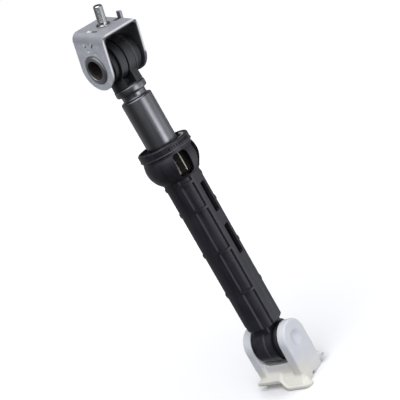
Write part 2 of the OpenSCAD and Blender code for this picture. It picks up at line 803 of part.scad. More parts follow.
module rod_end_plug() {
    color([0.16, 0.16, 0.17]) {
        translate([0, 0, tube_low_z]) cylinder(r = tube_bore_r - seat, h = plug_in, $fn = 72);
        translate([0, 0, ring_low_z - plug_disc_h / 2])
            cylinder(r = plug_waist_r, h = plug_waist_h + plug_disc_h, $fn = 72);
        translate([0, 0, ring_low_z - plug_disc_h])
            cylinder(r = plug_disc_r, h = plug_disc_h, $fn = 72);
    }
}

// The neck of the head: a drum on the tube and a narrower column up to the eye
module head_neck() {
    low_z = tube_top_z + seat;
    pocket_out = eye_half - head_pocket_wall;
    difference() {
        translate([0, 0, low_z])
            cylinder(r1 = head_r, r2 = head_neck_r, h = upper_pivot_z - low_z, $fn = 96);
        rotate([0, 0, upper_turn]) for (turn = [0, 180]) rotate([0, 0, turn]) {
            translate([eye_half, -2 * head_r, column_z]) cube([head_r, 4 * head_r, 2 * eye_r]);
            translate([-pocket_out, -2 * head_r, tube_top_z + head_floor_h])
                cube([pocket_out - head_pocket_in, 2 * head_r - head_pocket_y, eye_r]);
        }
    }
}

module rod_head() {
    color([0.13, 0.13, 0.15]) {
        difference() {
            union() {
                head_neck();
                on_upper_pivot() rotate([0, 90, 0])
                    cylinder(r = eye_r, h = 2 * eye_half, center = true, $fn = 96);
            }
            on_upper_pivot() rotate([0, -90, 0]) {
                cylinder(r = bush_r + seat, h = 3 * eye_half, center = true, $fn = 96);
                eye_groove();
            }
        }
        rotate_extrude($fn = 96) head_spigot_section();
    }
}

// The spigot of the head, which fills the crimped end of the tube
module head_spigot_section() {
    high_z = crimp_low_z - 2 * rod_wall - seat;
    translate([0, high_z - spigot_h]) square([tube_bore_r - seat, spigot_h]);
    translate([0, high_z - spigot_h])
        square([crimp_bore_r - seat, tube_top_z - high_z + spigot_h]);
    translate([0, crimp_high_z + rod_wall + seat])
        square([tube_bore_r - seat, tube_top_z + head_floor_h - crimp_high_z - rod_wall]);
}

module upper_bush_near() {
    on_upper_pivot() rotate([0, -90, 0]) half_bush(upper_flange_t);
}

module upper_bush_far() {
    on_upper_pivot() rotate([0, 90, 0]) half_bush(upper_flange_t);
}

module pivot_spacer_tube() {
    color([0.6, 0.6, 0.62]) on_bracket() rotate([0, 90, 0]) difference() {
        cylinder(r = bush_bore_r - run, h = 2 * cheek_in, center = true, $fn = 96);
        cylinder(r = rivet_r + seat, h = 3 * cheek_in, center = true, $fn = 96);
    }
}

module pivot_rivet() {
    color([0.55, 0.56, 0.58]) on_bracket() rotate([0, 90, 0]) difference() {
        union() {
            cylinder(r = rivet_r, h = 2 * cheek_out, center = true, $fn = 96);
            for (side = [0, 1]) mirror([0, 0, side]) translate([0, 0, cheek_out])
                rotate_extrude($fn = 96) rivet_head_section();
        }
        cylinder(r = rivet_bore_r, h = 4 * cheek_out, center = true, $fn = 96);
    }
}

// A rolled rivet head: flat below, rounded on its outer edge
module rivet_head_section() {
    edge = rivet_head_h / 2;
    square([rivet_head_r, rivet_head_h - edge]);
    square([rivet_head_r - edge, rivet_head_h]);
    translate([rivet_head_r - edge, rivet_head_h - edge]) circle(edge, $fn = 32);
}

// The folded strip seen along its depth, as a shape of the given outer size
module fold_section(w, top, r) {
    translate([-w / 2, -cheek_r]) square([w, top + cheek_r - r]);
    translate([-w / 2 + r, -cheek_r]) square([w - 2 * r, top + cheek_r]);
    for (x = quarter) translate([x * (w / 2 - r), top - r]) circle(r, $fn = 64);
}

// The outline of a cheek seen along the pivot
module cheek_outline() {
    rotate([0, 90, 0]) {
        cylinder(r = cheek_r, h = 2 * bracket_w, center = true, $fn = 96);
        translate([-bracket_h - over, -cheek_r, -bracket_w])
            cube([bracket_h + over, bracket_d, 2 * bracket_w]);
    }
}

// Round marks pressed into the near cheek, kept plain
module stamped_dimples() {
    places_share = [[-0.1, 0.74], [0.12, 0.56], [-0.3, 0.5]];
    for (p = places_share)
        translate([-cheek_out, p[0] * cheek_r, p[1] * bracket_h]) rotate([0, 90, 0])
            cylinder(r = dimple_r, h = 2 * dimple_h, center = true, $fn = 24);
}

module top_bracket() {
    color([0.72, 0.74, 0.77]) on_bracket() {
        difference() {
            intersection() {
                rotate([90, 0, 0]) linear_extrude(height = 2 * bracket_d, center = true) difference() {
                    fold_section(bracket_w, bracket_h, bend_r);
                    translate([0, -over]) fold_section(2 * cheek_in, web_in + over, bend_r - bracket_t);
                    translate([-cheek_in, -cheek_r - over]) square([2 * cheek_in, cheek_r]);
                }
                cheek_outline();
            }
            rotate([0, 90, 0]) cylinder(r = rivet_r + seat, h = 2 * bracket_w, center = true, $fn = 96);
            translate([0, 0, web_in - over])
                cylinder(r = stud_r + seat, h = bracket_t + 2 * over, $fn = 72);
            translate([tab_x - tab_slot, tab_y - tab_w / 2, web_in - over])
                cube([tab_slot, tab_w, bracket_t + 2 * over]);
            stamped_dimples();
        }
        translate([tab_x, tab_y - tab_w / 2, web_in + bracket_t / 2])
            cube([bracket_t, tab_w, tab_h + bracket_t / 2]);
    }
}

module mounting_stud() {
    low = web_in - stud_head_h;
    chamfer_z = bracket_h + stud_h - stud_chamfer;
    color([0.66, 0.66, 0.6]) on_bracket() {
        translate([0, 0, low]) cylinder(r = stud_head_r, h = stud_head_h, $fn = 72);
        translate([0, 0, low]) cylinder(r = stud_r, h = chamfer_z - low, $fn = 72);
        translate([0, 0, chamfer_z])
            cylinder(r1 = stud_r, r2 = stud_r - stud_chamfer, h = stud_chamfer, $fn = 72);
        translate([0, 0, bracket_h]) cylinder(r = stud_collar_r, h = stud_collar_h, $fn = 72);
    }
}

foot_bracket();
lower_pivot_pin();
damper_housing();
lower_bush_near();
lower_bush_far();
lower_bush_sleeve();
mouth_guide();
lining_carrier();
friction_lining();
bottom_buffer();
rod_guide_ring();
rod_tube();
rod_end_plug();
rod_head();
upper_bush_near();
upper_bush_far();
pivot_spacer_tube();
pivot_rivet();
top_bracket();
mounting_stud();
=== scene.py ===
import math

import bmesh
import bpy
from mathutils import Matrix, Vector


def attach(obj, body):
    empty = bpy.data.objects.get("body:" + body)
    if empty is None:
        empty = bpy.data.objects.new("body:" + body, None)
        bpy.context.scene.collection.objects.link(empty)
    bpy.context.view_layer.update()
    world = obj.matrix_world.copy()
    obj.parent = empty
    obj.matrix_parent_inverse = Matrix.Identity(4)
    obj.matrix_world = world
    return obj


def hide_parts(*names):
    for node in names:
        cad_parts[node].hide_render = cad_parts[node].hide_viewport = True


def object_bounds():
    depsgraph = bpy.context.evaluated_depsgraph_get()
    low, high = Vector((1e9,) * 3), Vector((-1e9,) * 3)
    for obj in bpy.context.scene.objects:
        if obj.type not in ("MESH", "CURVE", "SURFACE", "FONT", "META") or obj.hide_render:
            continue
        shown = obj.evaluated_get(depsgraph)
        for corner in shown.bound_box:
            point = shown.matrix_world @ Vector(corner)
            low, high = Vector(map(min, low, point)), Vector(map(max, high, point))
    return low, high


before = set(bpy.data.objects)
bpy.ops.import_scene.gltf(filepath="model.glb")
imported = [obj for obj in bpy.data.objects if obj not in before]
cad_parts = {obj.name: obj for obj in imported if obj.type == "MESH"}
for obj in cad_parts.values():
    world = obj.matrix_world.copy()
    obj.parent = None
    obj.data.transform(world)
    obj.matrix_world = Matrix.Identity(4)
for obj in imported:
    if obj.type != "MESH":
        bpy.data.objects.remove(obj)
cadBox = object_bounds()
mm = 0.001
print("frame loaded")

# heights and angles of the two pivots, as in the part
stance = {"lowerPivot": 30.0, "upperPivot": 250.0, "upperTurn": 77.5, "bracketLean": 20.6}


def turned(degrees, axis):
    return Matrix.Rotation(math.radians(degrees), 4, axis)


def moved(x, y, z):
    return Matrix.Translation((x * mm, y * mm, z * mm))


lowerFrame = moved(0, 0, stance["lowerPivot"])
upperFrame = moved(0, 0, stance["upperPivot"]) @ turned(stance["upperTurn"], "Z")
bracketFrame = upperFrame @ turned(stance["bracketLean"], "X")
zToX = turned(90, "Y")  # what is drawn along Z then lies along the pivot
zToMinusX = turned(-90, "Y")
upright = Matrix.Identity(4)


class Wire:
    # one socket; sums and products of wires add their Math nodes
    def __init__(self, recipe, socket):
        self.recipe = recipe
        self.socket = socket

    def __add__(self, other):
        return self.recipe.math("ADD", self, other)

    __radd__ = __add__

    def __sub__(self, other):
        return self.recipe.math("SUBTRACT", self, other)

    def __rsub__(self, other):
        return self.recipe.math("SUBTRACT", other, self)

    def __mul__(self, other):
        return self.recipe.math("MULTIPLY", self, other)

    __rmul__ = __mul__

    def __pow__(self, other):
        return self.recipe.math("POWER", self, other)

    def __abs__(self):
        return self.recipe.math("ABSOLUTE", self)

    def atMost(self, other):
        return self.recipe.math("MINIMUM", self, other)

    def atLeast(self, other):
        return self.recipe.math("MAXIMUM", self, other)

    def above(self, low, high):
        # 0 below low, 1 above high, smooth in between; low may be the larger one
        return self.recipe.add("MapRange", {"interpolation_type": "SMOOTHSTEP"}, {0: self, 1: low, 2: high})

    def part(self, name):
        return self.recipe.add("SeparateXYZ", {}, {0: self}, name)

    def times(self, factors):
        return self.recipe.add("VectorMath", {"operation": "MULTIPLY"}, {0: self, 1: factors})


class Recipe:
    # the nodes of one material or of the sky
    def __init__(self, owner):
        owner.use_nodes = True
        self.tree = owner.node_tree

    def add(self, kind, settings, inputs, output=0):
        made = self.tree.nodes.new("ShaderNode" + kind)
        for key, value in settings.items():
            setattr(made, key, value)
        for key, value in inputs.items():
            self.feed(made.inputs[key], value)
        return Wire(self, made.outputs[output])

    def feed(self, socket, value):
        if isinstance(value, Wire):
            self.tree.links.new(value.socket, socket)
        elif socket.type == "RGBA" and len(value) == 3:
            socket.default_value = (*value, 1.0)
        else:
            socket.default_value = value

    def math(self, operation, first, second=0.0):
        return self.add("Math", {"operation": operation}, {0: first, 1: second})

    def mixed(self, share, first, second):
        return self.add("Mix", {"data_type": "RGBA"}, {0: share, 6: first, 7: second}, 2)


class Finish(Recipe):
    seedStep = (1.0, 1.7, 0.6)  # how far a step of the seed moves the noise, in spots

    def __init__(self, name, place=upright):
        self.material = bpy.data.materials.new(name)
        super().__init__(self.material)
        self.shader = self.tree.nodes["Principled BSDF"]
        # millimetres in the frame of the piece
        self.spot = self.add("Mapping", {"vector_type": "TEXTURE"}, {
            "Vector": self.add("TexCoord", {}, {}, "Object"),
            "Location": tuple(place.to_translation()), "Rotation": tuple(place.to_euler()),
            "Scale": (mm, mm, mm)})

    def noise(self, size, detail=2.0, stretch=(1, 1, 1), rough=0.5, seed=0):
        # size of a spot in millimetres; stretch above 1 draws it out along that axis
        where = self.spot.times(tuple(1 / (size * s) for s in stretch))
        shift = tuple(seed * s for s in self.seedStep)
        where = self.add("VectorMath", {"operation": "ADD"}, {0: where, 1: shift})
        return self.add("TexNoise", {}, {"Vector": where, "Scale": 1.0, "Detail": detail, "Roughness": rough})

    def cells(self, size):
        where = self.spot.times((1 / size, 1 / size, 1 / size))
        return self.add("TexVoronoi", {"feature": "F1"}, {"Vector": where, "Scale": 1.0})

    def bumped(self, height, depth, under=None):
        # depth in millimetres
        inputs = {"Height": height, "Distance": depth * mm, "Strength": 1.0}
        if under is not None:
            inputs["Normal"] = under
        return self.add("Bump", {}, inputs)

    def done(self, **values):
        for name, value in values.items():
            self.feed(self.shader.inputs[name], value)
        return self.material


# what the milky plastics share: sizes and depths in millimetres, ranges of noise, shares of a mix
acetalValues = {
    "cloudRange": (0.3, 0.7), "warmSide": (4, -12), "warmSpread": 0.6, "warmCloud": 0.6, "warmBase": 0.5,
    "speckSize": 1.1, "speckRange": (0.68, 0.78),
    "scratchSize": 0.5, "scratchLong": 18, "scratchRange": (0.62, 0.72), "scratchDeep": 0.012,
    "grainSize": 0.35, "grain": 0.02, "flowSize": 5, "cloudRough": 0.14, "scratchRough": 0.12,
    "lightSpread": (1.0, 0.95, 0.9), "lightReach": 0.0016, "bending": 1.48,
}


def milkyAcetal(name, look):
    v = {**acetalValues, **look}
    f = Finish(name)
    cloud = f.noise(v["cloudSize"], detail=3)
    # warmer towards the bottom and towards the front
    warm = f.spot.part("Z").above(v["warmTop"], v["warmLow"])
    warm = warm * (f.spot.part("Y").above(*v["warmSide"]) * v["warmSpread"] + (1 - v["warmSpread"]))
    body = f.mixed(cloud.above(*v["cloudRange"]), v["cool"], v["plain"])
    body = f.mixed(warm * (cloud * v["warmCloud"] + v["warmBase"]), body, v["warm"])
    specks = f.noise(v["speckSize"], detail=4, rough=0.7, seed=3).above(*v["speckRange"])
    body = f.mixed(specks * v["specks"], body, v["dirtAndRivetShade"])
    scratches = f.noise(v["scratchSize"], stretch=(1, v["scratchLong"], 1), seed=8)
    scratches = scratches.above(*v["scratchRange"])
    grain = f.bumped(f.noise(v["grainSize"], detail=3), v["grain"])
    flow = f.bumped(f.noise(v["flowSize"], stretch=(1, 1, 2), seed=5), v["flow"], under=grain)
    return f.done(**{
        "Base Color": body,
        "Roughness": cloud * v["cloudRough"] + v["roughness"] + scratches * v["scratchRough"],
        "Normal": f.bumped(scratches, v["scratchDeep"], under=flow),
        "Subsurface Weight": v["glow"],
        "Subsurface Radius": v["lightSpread"],
        "Subsurface Scale": v["lightReach"],
        "IOR": v["bending"],
    })


# what the black mouldings share
blackValues = {
    "streakLong": 9, "streakRange": (0.3, 0.7), "patchSize": 14, "patchRange": (0.45, 0.75),
    "patchShare": 0.5, "scuffSize": 0.28, "scuffLong": 26, "scuffRange": (0.66, 0.74),
    "scuffPatch": (0.45, 0.6), "scuffDeep": -0.01, "dustSize": 0.7, "dustRange": (0.66, 0.78),
    "grainSize": 0.25, "grain": 0.03, "waveSize": 6,
    "waveLong": 4, "waves": 0.05, "streakRough": 0.16, "scuffRough": 0.1,
}


def mouldedBlack(name, look):
    v = {**blackValues, **look}
    f = Finish(name)
    streak = f.noise(v["streak"], detail=3, stretch=(1, 1, v["streakLong"]))
    patch = f.noise(v["patchSize"], detail=3, seed=2)
    body = f.mixed(streak.above(*v["streakRange"]), v["dark"], v["light"])
    body = f.mixed(patch.above(*v["patchRange"]) * v["patchShare"], body, v["bloom"])
    scuff = f.noise(v["scuffSize"], stretch=(1, 1, v["scuffLong"]), seed=4).above(*v["scuffRange"])
    scuff = scuff * patch.above(*v["scuffPatch"])
    dust = f.noise(v["dustSize"], detail=5, rough=0.75, seed=6).above(*v["dustRange"])
    body = f.mixed(scuff * v["scuffs"], body, v["worn"])
    body = f.mixed(dust * v["dust"], body, v["worn"])
    grain = f.bumped(f.noise(v["grainSize"], seed=1), v["grain"])
    waves = f.bumped(f.noise(v["waveSize"], stretch=(1, 1, v["waveLong"]), seed=7), v["waves"], under=grain)
    return f.done(**{
        "Base Color": body,
        "Roughness": streak * v["streakRough"] + v["roughness"] + scuff * v["scuffRough"],
        "Normal": f.bumped(scuff, v["scuffDeep"], under=waves),
        "Specular IOR Level": v["shine"],
    })


# what the rubber and the grease share
rubberValues = {
    "patchSize": 5, "patchRange": (0.3, 0.7), "bloomSize": 1.2, "bloomRange": (0.5, 0.75), "bloomShare": 0.35,
    "grainSize": 0.22, "grain": 0.03, "patchRough": 0.2,
}


def dullRubber(name, look):
    v = {**rubberValues, **look}
    f = Finish(name)
    patch = f.noise(v["patchSize"], detail=4)
    bloom = f.noise(v["bloomSize"], detail=5, rough=0.7, seed=2).above(*v["bloomRange"])
    body = f.mixed(patch.above(*v["patchRange"]), v["dark"], v["light"])
    body = f.mixed(bloom * v["bloomShare"], body, v["bloom"])
    return f.done(**{
        "Base Color": body,
        "Roughness": patch * v["patchRough"] + v["roughness"],
        "Normal": f.bumped(f.noise(v["grainSize"], detail=3, seed=3), v["grain"]),
        "Specular IOR Level": v["shine"],
    })


def foamStrip(name, v):
    f = Finish(name)
    pores = f.cells(v["pore"])
    wet = f.noise(v["wetSize"], detail=3, seed=2).above(*v["wetRange"])
    body = f.mixed(pores.above(*v["poreRange"]), v["shade"], v["light"])
    body = f.mixed(wet * v["wetShare"], body, v["greased"])
    return f.done(**{
        "Base Color": body,
        "Roughness": v["roughness"] - wet * v["wetGloss"],
        "Normal": f.bumped(pores, v["poreDeep"]),
        "Sheen Weight": v["sheen"],
    })


# what the bare steels share
steelValues = {
    "place": upright, "lineRange": (0.25, 0.75), "bandTimes": 7, "bandRange": (0.35, 0.7), "bandShare": 0.5,
    "patchSize": 9, "stainRange": (0.5, 0.75), "lineRough": 0.14, "patchRough": 0.08, "metal": 1.0,
}


def drawnSteel(name, look):
    v = {**steelValues, **look}
    f = Finish(name, v["place"])
    lines = f.noise(v["line"], detail=3, stretch=v["stretch"])
    broad = f.noise(v["line"] * v["bandTimes"], stretch=v["stretch"], seed=3)
    patch = f.noise(v["patchSize"], detail=4, seed=5)
    body = f.mixed(lines.above(*v["lineRange"]), v["dark"], v["light"])
    body = f.mixed(broad.above(*v["bandRange"]) * v["bandShare"], body, v["band"])
    body = f.mixed(patch.above(*v["stainRange"]) * v["stain"], body, v["stained"])
    if "innerEdgeDark" in v:
        # a cut edge is bright near the outer face of the sheet and dark further in
        side = v["sheetSide"] - abs(f.spot.part("X"))
        depth = side.atMost(v["sheetTop"] - f.spot.part("Z"))
        body = f.mixed(depth.above(*v["brightDeep"]), body, v["innerEdgeDark"])
    return f.done(**{
        "Base Color": body,
        "Metallic": v["metal"],
        "Roughness": lines * v["lineRough"] + v["roughness"] + patch * v["patchRough"],
        "Normal": f.bumped(lines, v["depth"]),
    })


# what the two zinc finishes of the bracket share
zincValues = {
    "spangle": 1.4, "spangleRange": (0.1, 0.7), "spangleShare": 0.35,
    "cloudSize": 7, "cloudRange": (0.3, 0.7),
    "rubSize": 0.3, "rubLong": 14, "rubRange": (0.62, 0.72), "rubCloud": (0.45, 0.6),
    "spotSize": 0.8, "spotRange": (0.7, 0.76), "spotShare": 0.4,
    "speckleSize": 0.75, "paleRange": (0.5, 0.66), "paleShare": 0.6, "greyRange": (0.47, 0.33),
    # painted shade: the top darkened, and a dark ring round the head of the rivet
    "greyShare": 0.65, "topShadeRange": (15.5, 21.5), "topShadeColour": (0.22, 0.225, 0.245),
    "rivetShadeRange": (10.0, 9.3), "rivetShadeColour": (0.03, 0.03, 0.04), "fineSize": 0.4, "grain": 0.05,
    "cloudDeep": 0.02, "cloudRough": 0.14, "spotRough": 0.1, "rubGloss": 0.08,
}


def zincPlate(name, look):
    v = {**zincValues, **look}
    f = Finish(name, bracketFrame)
    cloud = f.noise(v["cloudSize"], detail=4, seed=1)
    body = f.mixed(cloud.above(*v["cloudRange"]), v["dark"], v["light"])
    body = f.mixed(f.cells(v["spangle"]).above(*v["spangleRange"]) * v["spangleShare"], body, v["blue"])
    rub = f.noise(v["rubSize"], stretch=(1, v["rubLong"], 1), seed=4).above(*v["rubRange"])
    rub = rub * cloud.above(*v["rubCloud"])
    body = f.mixed(rub * v["rubs"], body, v["bright"])
    spots = f.noise(v["spotSize"], detail=3, seed=9).above(*v["spotRange"])
    body = f.mixed(spots * v["spotShare"], body, v["spot"])
    speckle = f.noise(v["speckleSize"], detail=4, rough=0.8, seed=12)
    body = f.mixed(speckle.above(*v["paleRange"]) * v["paleShare"], body, v["bright"])
    body = f.mixed(speckle.above(*v["greyRange"]) * v["greyShare"], body, v["spot"])
    # painted shade: the top is darkened to grey, and a dark ring is painted round the head of the rivet
    body = f.mixed(f.spot.part("Z").above(*v["topShadeRange"]) * v["topShade"], body, v["topShadeColour"])
    reach = (f.spot.part("Y") ** 2.0 + f.spot.part("Z") ** 2.0) ** 0.5
    body = f.mixed(reach.above(*v["rivetShadeRange"]) * v["dirtAndRivetShade"], body, v["rivetShadeColour"])
    grain = f.bumped(f.noise(v["fineSize"], detail=3, seed=2), v["grain"])
    return f.done(**{
        "Base Color": body,
        "Metallic": v["metal"],
        "Roughness": cloud * v["cloudRough"] + v["roughness"] + spots * v["spotRough"] - rub * v["rubGloss"],
        "Normal": f.bumped(cloud, v["cloudDeep"], under=grain),
    })


# each finish: how it is made, and its own values
finishes = {
    "footWhite": (milkyAcetal, {
        "cool": (0.79, 0.815, 0.87), "plain": (0.84, 0.845, 0.865), "warm": (0.90, 0.87, 0.765),
        "dirtAndRivetShade": (0.55, 0.53, 0.49), "cloudSize": 9, "warmTop": 21, "warmLow": 9, "specks": 0.25,
        "flow": 0.08, "roughness": 0.34, "glow": 0.35}),
    "naturalPlastic": (milkyAcetal, {
        "cool": (0.66, 0.68, 0.72), "plain": (0.70, 0.71, 0.72), "warm": (0.72, 0.70, 0.63),
        "dirtAndRivetShade": (0.45, 0.43, 0.39), "cloudSize": 6, "warmTop": 120, "warmLow": 90, "specks": 0.2,
        "flow": 0.05, "roughness": 0.36, "glow": 0.2}),
    "housingBlack": (mouldedBlack, {
        "dark": (0.014, 0.014, 0.019), "light": (0.026, 0.025, 0.034), "bloom": (0.034, 0.033, 0.045),
        "worn": (0.10, 0.10, 0.12), "streak": 2.2, "scuffs": 0.5, "dust": 0.25,
        "grainSize": 0.28, "waves": 0.12, "roughness": 0.27, "shine": 0.45}),
    "headBlack": (mouldedBlack, {
        "dark": (0.018, 0.018, 0.022), "light": (0.034, 0.034, 0.041), "bloom": (0.05, 0.05, 0.06),
        "worn": (0.12, 0.12, 0.13), "streak": 1.6, "scuffs": 0.4, "dust": 0.25,
        "waves": 0.08, "roughness": 0.28, "shine": 0.5}),
    "guideBlack": (mouldedBlack, {
        "dark": (0.012, 0.012, 0.014), "light": (0.02, 0.02, 0.023), "bloom": (0.03, 0.03, 0.034),
        "worn": (0.08, 0.08, 0.085), "streak": 1.2, "scuffs": 0.3, "dust": 0.2,
        "roughness": 0.36, "shine": 0.5}),
    "carrierBlack": (mouldedBlack, {
        "dark": (0.007, 0.006, 0.006), "light": (0.013, 0.012, 0.012), "bloom": (0.02, 0.018, 0.017),
        "worn": (0.06, 0.055, 0.05), "streak": 1.0, "scuffs": 0.3, "dust": 0.2,
        "roughness": 0.6, "shine": 0.12}),
    # a lighter copy of the black plastic: painted highlight on the rim bead, the eye ridge and the head's
    # line
    "housingPaintedHighlight": (mouldedBlack, {
        "dark": (0.035, 0.035, 0.042), "light": (0.055, 0.055, 0.066), "bloom": (0.07, 0.07, 0.082),
        "worn": (0.13, 0.13, 0.15), "streak": 1.6, "scuffs": 0.5, "dust": 0.3,
        "roughness": 0.3, "shine": 0.6}),
    # a darker copy of the black plastic: painted shade on the rim bars
    "housingPaintedShade": (mouldedBlack, {
        "dark": (0.003, 0.003, 0.006), "light": (0.006, 0.006, 0.011), "bloom": (0.01, 0.01, 0.016),
        "worn": (0.05, 0.05, 0.06), "streak": 1.6, "scuffs": 0.3, "dust": 0.2,
        "grain": 0.02, "roughness": 0.3, "shine": 0.3}),
    "bushRubber": (dullRubber, {
        "dark": (0.008, 0.008, 0.010), "light": (0.016, 0.016, 0.020), "bloom": (0.04, 0.04, 0.046),
        "roughness": 0.34, "shine": 0.45}),
    "greasedFoam": (foamStrip, {
        "shade": (0.62, 0.54, 0.38), "light": (0.93, 0.88, 0.74), "greased": (0.74, 0.65, 0.47),
        "pore": 0.55, "poreRange": (0.1, 0.6), "poreDeep": 0.12, "wetSize": 4, "wetRange": (0.4, 0.7),
        "wetShare": 0.45, "wetGloss": 0.35, "roughness": 0.9, "sheen": 0.15}),
    # pale grease: its colour is a painted highlight
    "greasePaintedHighlight": (dullRubber, {
        "dark": (0.42, 0.42, 0.44), "light": (0.62, 0.62, 0.64), "bloom": (0.75, 0.75, 0.76),
        "roughness": 0.12, "shine": 0.7}),
    "rodSteel": (drawnSteel, {
        "dark": (0.17, 0.17, 0.18), "light": (0.26, 0.26, 0.275), "band": (0.21, 0.21, 0.225),
        "stained": (0.14, 0.135, 0.135), "stain": 0.4, "line": 0.22, "stretch": (1, 1, 60),
        "depth": 0.005, "metal": 0.95, "roughness": 0.12}),
    "sleeveSteel": (drawnSteel, {
        "dark": (0.42, 0.41, 0.39), "light": (0.56, 0.55, 0.52), "band": (0.48, 0.47, 0.44),
        "stained": (0.36, 0.33, 0.29), "stain": 0.3, "line": 0.2, "stretch": (30, 1, 1),
        "depth": 0.006, "roughness": 0.32}),
    "rivetSteel": (drawnSteel, {
        "place": bracketFrame,
        "dark": (0.30, 0.305, 0.32), "light": (0.44, 0.45, 0.47), "band": (0.36, 0.37, 0.39),
        "stained": (0.18, 0.18, 0.19), "stain": 0.35, "line": 0.3, "stretch": (5, 1, 1),
        "depth": 0.015, "roughness": 0.36}),
    # dark steel: painted shade in the rivet's bore and on stamped marks
    "steelPaintedShade": (drawnSteel, {
        "place": bracketFrame,
        "dark": (0.02, 0.017, 0.015), "light": (0.12, 0.10, 0.09), "band": (0.05, 0.042, 0.037),
        "stained": (0.01, 0.008, 0.007), "stain": 0.5, "line": 0.5, "stretch": (3, 1, 1),
        "depth": 0.03, "metal": 0.5, "roughness": 0.55}),
    "studSteel": (drawnSteel, {
        "place": bracketFrame,
        "dark": (0.38, 0.39, 0.39), "light": (0.60, 0.61, 0.61), "band": (0.50, 0.50, 0.48),
        "stained": (0.30, 0.29, 0.26), "stain": 0.3, "line": 0.25, "stretch": (1, 1, 12),
        "depth": 0.004, "roughness": 0.06}),
    "bracketZinc": (zincPlate, {
        "dark": (0.70, 0.72, 0.76), "light": (0.86, 0.88, 0.92), "blue": (0.75, 0.78, 0.85),
        "bright": (0.92, 0.94, 0.97), "spot": (0.34, 0.35, 0.38),
        "rubs": 0.35, "metal": 0.28, "roughness": 0.42, "dirtAndRivetShade": 0.85, "topShade": 0.7}),
    # a darker copy of the zinc: painted shade on faces turned inwards and on the far cheek's cut edges
    "bracketPaintedShade": (zincPlate, {
        "dark": (0.13, 0.13, 0.14), "light": (0.2, 0.2, 0.215), "blue": (0.15, 0.155, 0.175),
        "bright": (0.28, 0.28, 0.3), "spot": (0.08, 0.08, 0.085),
        "rubs": 0.3, "metal": 0.7, "roughness": 0.5, "dirtAndRivetShade": 0.3, "topShade": 0.0}),
    # near-white steel: painted highlight on stamped marks
    "markPaintedHighlight": (drawnSteel, {
        "place": bracketFrame,
        "dark": (0.90, 0.91, 0.93), "light": (1.0, 1.0, 1.0), "band": (0.95, 0.95, 0.97),
        "stained": (0.7, 0.7, 0.72), "stain": 0.2, "line": 0.14, "stretch": (8, 1, 1),
        "depth": 0.01, "metal": 0.1, "roughness": 0.3}),
    "shearedEdge": (drawnSteel, {
        "place": bracketFrame,
        "dark": (0.58, 0.59, 0.61), "light": (0.74, 0.74, 0.76), "band": (0.66, 0.66, 0.68),
        "stained": (0.5, 0.49, 0.47), "stain": 0.2, "line": 0.14, "stretch": (8, 1, 1),
        "depth": 0.02, "metal": 0.85, "roughness": 0.3,
        "innerEdgeDark": (0.12, 0.12, 0.13), "sheetSide": 16.0, "sheetTop": 23.2, "brightDeep": (1.15, 1.45)}),
}
paint = {name: recipe(name, look) for name, (recipe, look) in finishes.items()}
print("finishes ready:", len(paint))


# how meshes are merged and shaded: distances in millimetres, angles in degrees
meshing = {"nodeMerge": 0.002, "spinMerge": 0.0001, "flatWithin": 0.6, "sharpAbove": 28, "flatWeight": 80}


def smoothed(bm, crease):
    for edge in bm.edges:
        edge.smooth = len(edge.link_faces) != 2 or edge.calc_face_angle(0) < math.radians(crease)
    for face in bm.faces:
        face.smooth = True


def placed(name, bm, body, finishNames, nodes=(), crease=40, even=False):
    smoothed(bm, crease)
    mesh = bpy.data.meshes.new(name)
    bm.to_mesh(mesh)
    bm.free()
    for finish in finishNames:
        mesh.materials.append(paint[finish])
    piece = bpy.data.objects.new(name, mesh)
    bpy.context.scene.collection.objects.link(piece)
    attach(piece, body)
    if nodes:
        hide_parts(*nodes)
    if even:  # large faces set the shading, so flats stay flat beside small bevels
        weigh = piece.modifiers.new("even", "WEIGHTED_NORMAL")
        weigh.keep_sharp = True
        weigh.weight = meshing["flatWeight"]


def joined(bm, other):
    carrier = bpy.data.meshes.new("carrier")
    other.to_mesh(carrier)
    other.free()
    bm.from_mesh(carrier)
    bpy.data.meshes.remove(carrier)


def painted(bm, index):
    for face in bm.faces:
        face.material_index = index
    return bm


def lathe(corners, steps, place, rounding=3):
    # corners: radius, height and how much it is rounded, in millimetres; the outline closes itself
    bm = bmesh.new()
    ring = [bm.verts.new((radius * mm, 0, height * mm)) for radius, height, soft in corners]
    for pair in zip(ring, ring[1:] + ring[:1]):
        bm.edges.new(pair)
    for vert, (radius, height, soft) in zip(ring, corners):
        if soft > 0:
            bmesh.ops.bevel(bm, geom=[vert], offset=soft * mm, offset_type="OFFSET", affect="VERTICES",
                            segments=rounding, profile=0.5, material=-1)
    bmesh.ops.spin(bm, geom=bm.verts[:] + bm.edges[:], cent=(0, 0, 0), axis=(0, 0, 1), angle=math.tau,
                   steps=steps, use_merge=True)
    bmesh.ops.remove_doubles(bm, verts=bm.verts, dist=meshing["spinMerge"] * mm)
    bmesh.ops.recalc_face_normals(bm, faces=bm.faces)
    bmesh.ops.transform(bm, matrix=place, verts=bm.verts)
    return bm


def band(inner, outer, low, high, soft, steps, place):
    # a raised ring whose outer edges are rounded
    corners = [(inner, low, 0), (outer, low, soft), (outer, high, soft), (inner, high, 0)]
    return lathe(corners, steps, place, rounding=4)


def mirroredCorners(half):
    return half + [(radius, -height, soft) for radius, height, soft in reversed(half)]


def addBox(bm, place, size, soft=0.0):
    # size and softness of the edges in millimetres; gives back the new faces
    before = set(bm.faces)
    scale = Matrix.Diagonal((*(side * mm for side in size), 1))
    made = bmesh.ops.create_cube(bm, size=1, matrix=place @ scale)
    if soft > 0:
        edges = dict.fromkeys(edge for vert in made["verts"] for edge in vert.link_edges)
        bmesh.ops.bevel(bm, geom=list(edges), offset=soft * mm, offset_type="OFFSET", affect="EDGES",
                        segments=2, profile=0.5, material=-1)
    return set(bm.faces) - before


